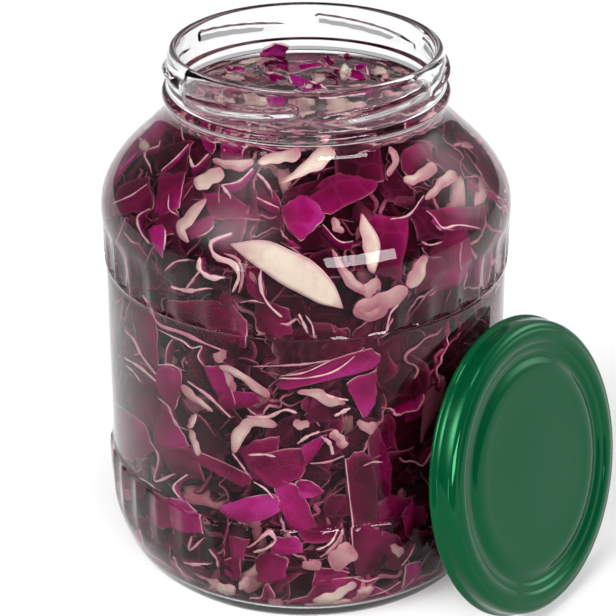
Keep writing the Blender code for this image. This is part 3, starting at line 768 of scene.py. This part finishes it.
# tone, four corners, each with its own height in mm: the leaves that float in the mouth
topLeaves = [
    (0.9, (259, 56, 176.5), (262, 48, 181.0), (283, 42, 183.0), (289, 56, 176.5)),
    (0.62, (277, 67, 176.4), (318, 62, 176.2), (321, 68, 176.6), (286, 74, 176.4)),
    (0.95, (289, 79, 177.6), (297, 74, 178.4), (305, 82, 177.6), (302, 89, 176.4)),
    (0.9, (308, 80, 178.2), (317, 83, 178.0), (327, 90, 176.2), (303, 91, 176.2)),
    (0.4, (321, 60, 177.6), (329, 56, 178.0), (336, 61, 177.4), (331, 66, 176.4)),
    (0.6, (342, 53, 177.0), (351, 50, 178.8), (352, 55, 177.2), (343, 56, 176.6)),
    (0.75, (354, 64, 177.2), (365, 64, 177.2), (367, 74, 176.5), (358, 73, 176.5)),
    (0.7, (223, 66, 176.8), (242, 68, 177.2), (244, 73, 176.4), (227, 72, 176.2)),
    (0.55, (255, 75, 176.6), (271, 72, 176.8), (290, 81, 176.4), (262, 84, 176.2)),
    (0.2, (328, 71, 176.8), (341, 69, 177.2), (339, 80, 176.2), (326, 79, 176.2)),
    (0.35, (368, 56, 176.2), (394, 61, 176.0), (393, 66, 175.6), (370, 61, 175.8)),
    (0.6, (340, 66, 177.4), (352, 70, 177.8), (370, 79, 176.6), (344, 80, 176.4)),
    (0.3, (236, 58, 175.8), (258, 54, 176.0), (256, 63, 175.6), (240, 66, 175.4)),
    (0.5, (292, 57, 175.8), (316, 56, 175.8), (312, 63, 175.6), (294, 64, 175.6)),
    (0.75, (190, 84, 176.4), (208, 82, 176.8), (216, 95, 176.4), (198, 98, 176.2)),
    (0.9, (243, 94, 177.2), (262, 92, 177.4), (266, 103, 176.4), (246, 104, 176.4)),
    (0.85, (303, 92, 177.4), (322, 91, 177.6), (320, 103, 176.4), (306, 103, 176.4)),
    (0.9, (327, 100, 177.0), (340, 98, 177.4), (346, 109, 176.4), (330, 111, 176.4)),
    (0.7, (369, 90, 177.0), (386, 88, 177.2), (390, 98, 176.4), (372, 101, 176.4)),
    (0.9, (398, 80, 177.0), (414, 78, 177.2), (418, 87, 176.4), (402, 90, 176.4)),
    (0.6, (222, 106, 176.8), (240, 108, 176.8), (238, 118, 176.2), (221, 116, 176.2)),
    (0.8, (262, 108, 176.8), (284, 106, 176.8), (286, 117, 176.2), (264, 119, 176.2)),
    (0.7, (350, 112, 176.8), (372, 108, 176.8), (376, 118, 176.2), (354, 121, 176.2)),
]

# the same for pale pieces: tone, four corners with their heights
topRibs = [
    (0.9, (341, 68, 177.4), (350, 65, 178.0), (350, 78, 176.8), (340, 80, 176.6)),
    (0.5, (244, 60, 176.4), (272, 58, 176.6), (273, 63, 176.2), (246, 66, 176.2)),
    (0.6, (312, 77, 177.0), (322, 75, 177.2), (323, 80, 176.6), (313, 81, 176.6)),
    (0.6, (372, 68, 176.8), (386, 70, 176.8), (384, 76, 176.4), (372, 75, 176.4)),
    (0.8, (285, 93, 177.0), (303, 93, 177.2), (301, 106, 176.4), (286, 105, 176.4)),
    (0.7, (214, 92, 176.8), (238, 96, 176.8), (236, 106, 176.2), (216, 104, 176.2)),
    (0.6, (322, 108, 176.8), (350, 102, 176.8), (366, 106, 176.2), (330, 116, 176.2)),
    (0.7, (345, 94, 177.0), (366, 90, 177.0), (368, 100, 176.4), (348, 103, 176.4)),
    (0.6, (388, 92, 176.8), (404, 88, 176.8), (408, 98, 176.2), (392, 102, 176.2)),
    (0.6, (240, 106, 176.6), (262, 104, 176.8), (262, 114, 176.2), (244, 116, 176.2)),
    (0.5, (290, 108, 176.8), (312, 107, 176.8), (310, 116, 176.2), (292, 117, 176.2)),
    (0.6, (300, 84, 176.8), (310, 83, 176.8), (308, 88, 176.4), (302, 88, 176.4)),
    (0.5, (225, 75, 176.2), (242, 76, 176.4), (244, 82, 176.0), (228, 82, 176.0)),
    (0.4, (396, 66, 176.2), (410, 70, 176.2), (412, 76, 176.0), (398, 73, 176.0)),
]

topPieces = {
    # name: the pieces, thickness in mm, skin, how far the corners are drawn in, gain of tone
    "topLeaves": (topLeaves, 0.9, leafSkin, (0.1, 0.5), 1.25),
    "topRibs": (topRibs, 1.6, creamRib, (0.5, 0.95), 0.95),
}


def makeTop(draw):
    # the same sheets laid level in the mouth, each corner at its own height
    s, t = sheetGrid()
    for name, (leaves, thickness, skin, drawnIn, gain) in topPieces.items():
        count = len(leaves)
        flat = blended(draw, [leaf[1:] for leaf in leaves], *drawnIn)
        phase = draw.uniform(0, 6.3, (4, count, 1, 1))
        flat[..., 0] += 1.6 * np.sin(2.5 * t + phase[2])
        flat[..., 1] += 0.9 * np.sin(3.0 * s + phase[3])
        height = flat[..., 2] + 0.7 * np.sin(2.0 * s + phase[0]) * np.sin(2.5 * t + phase[1])
        middle = keepInside(spotsAtHeight(flat[..., :2], height), 1.2)
        tone = shaded(draw, [leaf[0] * gain for leaf in leaves], 0.2)
        sheetPieces(name, middle, np.full(count, thickness) * mm, tone, [skin, cutEdge])


makeTop(drawFront)

# width as seen, then the path of a pale cut edge
frontEdges = [
    (1.3, (323, 224), (344, 242), (355, 241)), (2.0, (394, 219), (410, 216), (429, 195)),
    (2.0, (438, 216), (447, 227), (462, 224), (484, 227)), (1.8, (426, 241), (432, 244), (447, 241)),
    (1.5, (467, 241), (465, 256), (466, 268)), (1.5, (489, 251), (487, 266), (488, 282)),
    (1.5, (497, 244), (497, 262), (495, 280)), (1.8, (110, 202), (126, 195), (142, 184)),
    (2.2, (156, 170), (170, 158), (184, 143)), (2.6, (145, 166), (140, 155), (146, 141)),
    (3.0, (184, 155), (188, 166), (204, 153)), (1.2, (164, 194), (165, 210), (172, 214)),
    (2.6, (145, 208), (133, 216), (137, 232), (144, 242)), (1.6, (122, 216), (117, 228), (111, 240)),
    (1.6, (112, 241), (119, 252), (121, 270), (123, 291)),
    (5.0, (229, 233), (207, 244), (211, 255), (231, 264), (236, 276), (229, 291)),
    (3.0, (221, 253), (235, 259), (240, 272), (236, 292)),
    (5.0, (196, 257), (195, 267), (205, 276), (220, 277)), (4.0, (166, 285), (181, 289), (204, 287)),
    (3.0, (260, 265), (258, 281), (264, 300), (281, 317)), (2.6, (217, 185), (236, 181), (250, 168)),
    (3.0, (218, 185), (222, 190), (227, 196)), (3.0, (254, 173), (262, 180), (270, 191)),
    (2.0, (254, 197), (266, 203), (278, 208)), (2.0, (160, 268), (170, 261), (184, 259)),
    (2.4, (178, 290), (190, 276), (196, 270)),
    (3.6, (135, 293), (147, 308), (151, 319), (179, 332), (198, 341), (220, 350)),
    (1.8, (151, 326), (168, 335), (179, 340), (188, 347), (198, 345), (194, 355), (200, 365)),
    (1.6, (168, 338), (164, 343), (161, 362)), (2.0, (153, 363), (165, 363), (178, 369)),
    (3.2, (183, 380), (204, 395), (227, 417)), (4.0, (121, 327), (129, 336), (136, 351), (151, 372)),
    (4.0, (121, 355), (137, 366), (151, 379)), (2.5, (122, 362), (129, 369), (136, 379)),
    (2.0, (153, 396), (164, 405), (172, 424), (183, 429)),
    (1.8, (278, 378), (305, 378), (333, 372), (367, 347)), (1.5, (279, 376), (305, 372), (332, 360)),
    (2.0, (250, 366), (303, 364), (330, 360)), (2.6, (323, 393), (333, 397), (350, 400)),
    (4.0, (336, 416), (344, 412), (352, 408)), (3.4, (244, 416), (266, 417), (286, 410), (296, 413)),
    (3.0, (297, 444), (307, 437), (320, 432)), (4.0, (322, 437), (331, 444), (334, 455)),
    (2.6, (246, 455), (264, 455), (274, 457)), (2.0, (229, 453), (237, 463), (245, 474)),
    (1.8, (251, 482), (264, 490), (272, 499)), (1.6, (347, 459), (351, 494), (355, 527), (356, 549)),
    (2.6, (318, 551), (332, 543), (340, 532)), (4.0, (321, 558), (337, 545), (346, 533)),
    (3.0, (150, 447), (153, 452), (151, 479), (169, 473)), (2.5, (182, 474), (169, 486), (177, 498)),
    (2.5, (135, 476), (143, 480), (151, 487)), (3.0, (186, 536), (184, 549), (199, 539)),
    (2.5, (206, 549), (213, 560), (214, 567)), (3.0, (180, 561), (192, 564), (205, 564)),
    (1.8, (169, 560), (177, 568), (185, 576)), (2.4, (310, 464), (330, 462), (346, 456)),
    (2.0, (366, 466), (376, 462), (386, 462)), (1.6, (237, 302), (250, 300), (262, 303)),
    (2.0, (306, 316), (313, 325), (316, 338)), (3.0, (298, 314), (304, 325), (308, 334)),
    (2.0, (356, 578), (368, 581), (382, 577)), (1.8, (404, 300), (396, 312), (392, 330)),
    (2.2, (398, 318), (390, 332), (384, 336)), (2.0, (372, 596), (388, 590), (404, 580)),
    (1.8, (384, 600), (404, 590), (418, 576)), (1.6, (360, 602), (380, 601), (398, 594)),
    (1.8, (405, 566), (414, 556), (420, 544)),
    (4.0, (245, 548), (256, 541), (268, 535), (275, 541), (266, 549), (250, 553)),
]


def makeFrontEdges(draw):
    # the path rounded, a sheet standing on it that runs 5 mm back from the glass
    rows, columns, front, back = 19, 4, 0.55, 5.5
    paths = roundedPaths([edge[1:] for edge in frontEdges], 12, rows)
    width = np.array([edge[0] for edge in frontEdges])
    depth = np.linspace(front, back, columns)
    wobble = 0.5 * np.sin(np.linspace(0, 9, rows)[None, :] + draw.uniform(0, 6, (len(width), 1)))
    spots = paths[:, :, None, :] + (wobble[..., None] * (depth / back))[..., None]
    middle = spotsOnWall(spots, np.broadcast_to(depth, spots.shape[:-1]))
    t = np.linspace(0, 1, rows)[None, :, None]
    phase = draw.uniform(0, 6, (len(width), 1, 1))
    uneven = 0.78 + 0.22 * np.sin(11 * t + phase) + 0.15 * np.sin(27 * t + 2 * phase)
    thick = (width * 0.42 * mm)[:, None, None] * uneven * (0.35 + 0.65 * np.sin(math.pi * t) ** 0.5)
    thick = np.broadcast_to(thick, middle.shape[:3])
    tone = draw.uniform(0.3, 0.95, len(width))
    sheetPieces("frontEdges", keepInside(middle, 0.4), thick, tone, [leafSkin, cutEdge])


makeFrontEdges(drawFront)

# tone (0 pinkish, 1 cream), widths as seen at the start, middle and end, then the path of a rib
frontRibs = [
    (0.9, 3, 36, 3, (228, 244), (262, 254), (295, 272), (322, 289), (345, 308)),
    (0.95, 3, 12, 22, (281, 183), (299, 172), (316, 160), (336, 148)),
    (0.7, 6, 12, 17, (255, 162), (277, 156), (300, 151)),
    (0.8, 12, 15, 12, (190, 184), (204, 178), (219, 171)),
    (0.85, 4, 15, 8, (364, 214), (373, 242), (376, 273)),
    (0.35, 4, 9, 8, (333, 249), (347, 275), (360, 286), (367, 293)),
    (0.6, 8, 12, 9, (368, 296), (374, 287), (382, 279)),
    (0.5, 12, 13, 8, (413, 286), (422, 272), (430, 255)),
    (0.3, 18, 18, 12, (358, 311), (384, 302), (412, 287)),
    (0.3, 10, 16, 10, (358, 306), (372, 315), (392, 303)),
    (0.5, 6, 10, 12, (408, 179), (421, 178), (441, 164)),
    (0.45, 4, 9, 12, (430, 199), (444, 186), (461, 172)),
    (0.4, 4, 6, 6, (394, 145), (400, 156), (392, 176)), (0.45, 5, 9, 7, (208, 159), (228, 165), (251, 161)),
    (0.5, 5, 10, 7, (184, 242), (177, 229), (183, 218), (202, 199)),
    (0.25, 7, 9, 9, (221, 350), (217, 355), (213, 361)),
    (0.45, 4, 7, 9, (216, 365), (236, 374), (268, 397)), (0.3, 4, 6, 4, (221, 370), (227, 380), (232, 391)),
    (0.5, 7, 6, 3, (177, 384), (191, 398), (209, 411)), (0.6, 5, 5, 4, (184, 427), (188, 420), (191, 413)),
    (0.6, 4, 6, 4, (186, 429), (190, 441), (194, 455)),
    (0.6, 8, 12, 8, (231, 453), (237, 432), (246, 424), (276, 425)),
    (0.5, 5, 9, 5, (297, 392), (316, 394), (333, 401), (347, 403)),
    (0.4, 7, 9, 8, (360, 421), (369, 428), (379, 424)), (0.4, 6, 8, 6, (294, 421), (302, 426), (308, 422)),
    (0.35, 8, 10, 8, (331, 434), (341, 439), (346, 448)),
    (0.35, 20, 22, 16, (330, 565), (345, 557), (357, 549)),
    (0.85, 6, 9, 7, (313, 601), (337, 595), (358, 583)), (0.6, 5, 6, 4, (359, 592), (367, 590), (376, 587)),
    (0.3, 8, 10, 7, (302, 565), (313, 567), (321, 562)), (0.4, 6, 8, 6, (267, 601), (274, 603), (281, 604)),
    (0.75, 8, 11, 8, (212, 586), (222, 588), (232, 592)),
    (0.5, 5, 7, 4, (238, 589), (241, 583), (247, 578)), (0.4, 4, 8, 5, (395, 545), (401, 551), (408, 552)),
    (0.5, 5, 7, 5, (345, 232), (338, 226), (334, 218)), (0.4, 3, 6, 3, (204, 578), (212, 582), (205, 590)),
]


def makeFrontRibs(draw):
    # the path rounded, spread to its width, thick in the middle and thin at the sides
    rows, columns = 33, 9
    paths = roundedPaths([rib[4:] for rib in frontRibs], 32, rows)
    along = np.gradient(paths, axis=1)
    along /= np.linalg.norm(along, axis=-1, keepdims=True)
    side = np.stack([-along[..., 1], along[..., 0]], -1)
    t = np.linspace(0, 1, rows)
    start, middleWidth, end = np.array([rib[1:4] for rib in frontRibs], float).T[..., None]
    width = start * (1 - t) * (1 - 2 * t) + 4 * middleWidth * t * (1 - t) + end * t * (2 * t - 1)
    one, two, three = draw.uniform(0, 6.3, (3, len(width), 1))
    uneven = np.minimum(1.0, 9.0 / middleWidth)
    width = width * (1.0 + uneven * (0.16 * np.sin(7 * t + one) + 0.09 * np.sin(19 * t + two)))
    width = np.maximum(width * (1.0 - (2 * t - 1) ** 8) ** 0.5, 0.6)
    across = np.linspace(-0.5, 0.5, columns)
    sway = (0.09 * np.sin(8 * t + three) + 0.05 * np.sin(17 * t + one)) * width * uneven
    shift = width[:, :, None] * across + sway[:, :, None]
    spots = paths[:, :, None, :] + shift[..., None] * side[:, :, None, :]
    ends = 0.35 + 0.65 * np.sin(math.pi * t) ** 0.5
    dome = np.sqrt(np.maximum(1.0 - (2 * across) ** 2, 0.06)) * ends[:, None]
    thick = np.minimum(0.12 * width + 1.0, 3.2)[:, :, None] * dome * mm
    middle = spotsOnWall(spots, 0.4 + 0.5 * thick / mm)
    tone = np.array([rib[0] for rib in frontRibs])[:, None, None] - 0.35 * np.abs(2 * t - 1)[:, None] ** 3
    tone = tone + draw.uniform(-0.3, 0.3, (len(width), 1, 1)) * 2 * across
    sheetPieces("frontRibs", middle, thick, tone, [creamRib, cutEdge])


makeFrontRibs(drawFront)

# painted shade: the core of the heap takes a low tone of 0.12, the dark of the shadowed gaps deep inside it
shadedHeart = {
    "depth": 11.0, "level": 172.0, "crown": [(30.0, 171.0), (15.0, 172.0), (0.0, 172.0)],
    "lift": 3.0, "liftBelow": 20.0, "rough": 0.9, "tone": 0.12, "columns": 120,
}


def makeShadedHeart():
    # a body of cabbage inside the heap, painted dark as shade: the inner wall less a depth that wanders by a
    # sum of three sines
    wall = insideWall[::-1]
    wall = wall[wall[:, 1] < shadedHeart["level"]]
    wall = np.stack([np.maximum(wall[:, 0] - shadedHeart["depth"], 0.0),
                     wall[:, 1] + np.where(wall[:, 1] < shadedHeart["liftBelow"], shadedHeart["lift"], 0.0)], -1)
    wall[0, 0] = 0.0
    profile = smoothCurve(np.concatenate([wall, shadedHeart["crown"]]), 3)
    r, z = profile[:, :1], profile[:, 1:]
    a = fullTurn(shadedHeart["columns"])
    rough = np.sin(5 * a + z * 0.11) + np.sin(11 * a - z * 0.23 + 1) + np.sin(17 * a + z * 0.37 + 2)
    points = aroundJar(r + shadedHeart["rough"] * rough * np.clip(r / 30.0, 0, 1), a, z)
    even = np.ones(points.shape[:2])
    values = {"tone": shadedHeart["tone"] * even, "rim": even}
    piece = turnedPiece("cabbageShadedHeart", points, [leafSkin], values=values)
    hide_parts("cabbage")


makeShadedHeart()


# The lid, in its own frame: +Z out of its top, its curl on the plane z = 0, millimetres.
lid = {
    "middle": (55.33, -36.08, 52.53), "facing": -37.5, "lean": 14.0, "columns": 216,
    "sheet": 0.5, "radius": 54.4, "curl": 1.2, "curlFrom": 60.0, "curlTo": -225.0, "insideFrom": 3.2,
    "tabs": 6, "tabReach": 2.6, "tabSpan": 6.0, "tabHeight": 1.5, "tabHalf": 1.3,
    "top": [
        (0.0, 9.1, 3), (30.0, 9.0, 3), (37.4, 8.95, 3), (38.6, 8.5, 3), (40.0, 8.05, 3), (41.4, 8.1, 3),
        (42.6, 8.75, 3), (43.6, 8.98, 3), (44.6, 9.05, 3), (45.5, 9.6, 3), (46.6, 9.95, 3), (48.2, 10.0, 3),
        (49.4, 9.75, 3), (50.0, 9.55, 3), (50.8, 9.45, 3), (51.6, 9.1, 3), (52.35, 8.4, 3), (52.85, 7.2, 3),
        (53.15, 5.0, 3), (53.2, 3.4, 3)],
    "colours": ((0.0006, 0.047, 0.016), (0.0008, 0.054, 0.019)), "metal": 0.4, "ior": 1.22,
}


def lacquerPaint():
    # green lacquer whose colour and gloss drift a little, over steel with a faint grain
    material, paint = newPaint("greenLacquer")
    spot = paint.node("ShaderNodeTexCoord", output="Object")
    grain = spot.noise(260.0, 2.0)
    cloud = spot.noise(22.0, 2.0)
    bump = paint.node("ShaderNodeBump", {}, {"Height": grain, "Strength": 0.04, "Distance": 0.0003})
    finishPaint(paint, paint.node("ShaderNodeBsdfPrincipled", {}, {
        "Base Color": cloud.between(*lid["colours"]), "Roughness": 0.05 + 0.03 * cloud, "Normal": bump,
        "Metallic": lid["metal"], "IOR": lid["ior"]}))
    return material


def makeLid():
    # the top, the skirt and the rolled edge turned about the lid's axis, the inside a sheet's depth below;
    # each tab reaches in from the curl as exp(-(turn / span) ^ 4)
    top = np.array(lid["top"])
    turns = np.radians(np.linspace(lid["curlFrom"], lid["curlTo"], 14))
    middle = lid["radius"] - lid["curl"]
    curl = np.stack([middle + lid["curl"] * np.cos(turns), lid["curl"] + lid["curl"] * np.sin(turns)], -1)
    outer = smoothCurve(top[:, :2], top[:-1, 2].astype(int))
    inner = movedAcross(outer, lid["sheet"])
    inner[0, 0] = 0.0
    inner = inner[inner[:, 1] > lid["insideFrom"]][::-1]
    profile = np.concatenate([outer, curl, inner])[::-1]
    bearing = fullTurn(lid["columns"])
    r, z = profile[:, :1], profile[:, 1:]
    turn = (np.degrees(bearing) % (360.0 / lid["tabs"])) - 180.0 / lid["tabs"]
    hook = np.exp(-((z - lid["tabHeight"]) / lid["tabHalf"]) ** 2) * (r < middle - 0.4)
    r = r - lid["tabReach"] * np.exp(-(turn / lid["tabSpan"]) ** 4) * hook
    facing, lean = math.radians(lid["facing"]), math.radians(lid["lean"])
    axis = np.array([math.cos(lean) * math.cos(facing), math.cos(lean) * math.sin(facing), math.sin(lean)])
    side = np.array([-math.sin(facing), math.cos(facing), 0.0])
    uphill = np.cross(axis, side)
    points = (np.array(lid["middle"]) - (r * np.cos(bearing))[..., None] * uphill
              + (r * np.sin(bearing))[..., None] * side + z[..., None] * axis) * mm
    piece = turnedPiece("lidShell", points, [lacquerPaint()])
    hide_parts("lid")


makeLid()


# The stage: a pale floor, three softboxes, and a grey room with soft-edged glows for diffused light.
stage = {
    "size": 4.0, "drop": 0.05,                  # half width in metres, and mm below the jar's foot
    "floor": (0.46, 0.46, 0.46),
    "glow": (0.44, 0.44, 0.44),                 # counts by half where no glass mirrors it
    "frontDim": 0.55, "frontFrom": 0.3,         # how glass mirrors the floor in front and at the sides
    "sideGain": 0.5,
    "room": 0.1, "glowDim": 0.55,
    "strong": 3.0,                              # glows stronger than this aren't seen through glass
    "glows": [
        # towards, strength, degrees to where it has faded to a third
        ((-0.56, -0.43, 0.7), 20.0, 16.0),
        ((0.84, 0.36, 0.36), 8.0, 15.0),
        ((0.1, 0.5, 0.86), 1.2, 22.0),
        ((0.0, 0.93, 0.37), 0.5, 35.0),
    ],
    "lamps": [
        # name, place, aim, width, height, watts
        ("frontRightBox", (0.67, -1.23, 0.6), (0.0, 0.0, 0.12), 1.0, 0.42, 29.0),
        ("frontLeftBox", (-0.75, -1.1, 0.2), (0.0, 0.0, 0.1), 0.12, 0.35, 1.0),
        ("highBox", (0.1, -0.1, 1.6), (0.0, 0.0, 0.1), 0.4, 0.4, 4.0),
    ],
}


def mirrored(paint):
    # one for a ray that clear glass has just mirrored, else nothing
    return (paint.node("ShaderNodeLightPath", output="Is Reflection Ray")
            * paint.node("ShaderNodeLightPath", output="Is Singular Ray"))


def makeFloor():
    size, drop = stage["size"], -stage["drop"] * mm
    corners = [(-size, -size, drop), (size, -size, drop), (size, size, drop), (-size, size, drop)]
    mesh = bpy.data.meshes.new("floor")
    mesh.from_pydata(corners, [], [(0, 1, 2, 3)])
    floor = newObject("floor", mesh)
    material, paint = newPaint("floorWhite")
    # a dark room in front of the table and white cards at its sides, which only glass mirrors
    way = paint.node("ShaderNodeVectorMath", {"operation": "NORMALIZE"},
                     {0: paint.node("ShaderNodeTexCoord", output="Object")}, "Vector")
    front = ((way.along((0.0, -1.0, 0.0)) - stage["frontFrom"]) * 2.0).clamped()
    share = 1.0 + mirrored(paint) * (stage["sideGain"] - front * (stage["sideGain"] + stage["frontDim"]))
    black = (0.0, 0.0, 0.0)
    finishPaint(paint, paint.node("ShaderNodeBsdfPrincipled", {}, {
        "Base Color": share.between(black, stage["floor"]), "Roughness": 0.9, "Specular IOR Level": 0.0,
        "Emission Color": (share * 0.5).between(black, stage["glow"]), "Emission Strength": 1.0}))
    mesh.materials.append(material)


def addLamps():
    for name, place, aim, width, height, watts in stage["lamps"]:
        data = bpy.data.lights.new(name, "AREA")
        data.shape = "RECTANGLE"
        data.size, data.size_y, data.energy = width, height, watts
        lamp = newObject(name, data)
        lamp.location = place
        lamp.visible_transmission = False     # its light already comes straight through the glass
        way = np.array(aim) - np.array(place)
        flat = math.hypot(way[0], way[1])
        lamp.rotation_euler = (math.atan2(flat, -way[2]), 0.0, math.atan2(way[1], way[0]) - math.pi / 2)


def makeRoom():
    # each glow is strength x exp(-(1 - cosine) / (1 - cosine of its spread)) towards its middle
    world = bpy.data.worlds.new("room")
    world.use_nodes = True
    world.node_tree.nodes.clear()
    room = Wire(world.node_tree)
    way = room.node("ShaderNodeTexCoord", output="Generated")
    passed = room.node("ShaderNodeLightPath", output="Is Transmission Ray")
    soft = (1.0 - passed) * (1.0 - mirrored(room) * stage["glowDim"])
    light = 0.0
    for towards, strength, spread in stage["glows"]:
        towards = np.array(towards) / np.linalg.norm(towards)
        fall = (way.along(towards) - 1.0) / (1.0 - math.cos(math.radians(spread)))
        share = soft if strength > stage["strong"] else 1.0
        light = strength * room.maths("EXPONENT", fall) * share + light
    sky = room.node("ShaderNodeBackground", {}, {"Color": (1.0, 1.0, 1.0, 1.0),
                                                 "Strength": light + stage["room"]})
    out = world.node_tree.nodes.new("ShaderNodeOutputWorld")
    world.node_tree.links.new(sky.socket, out.inputs["Surface"])
    bpy.context.scene.world = world
    bpy.context.scene.view_settings.view_transform = "Standard"


makeFloor()
addLamps()
makeRoom()
print("stage set")
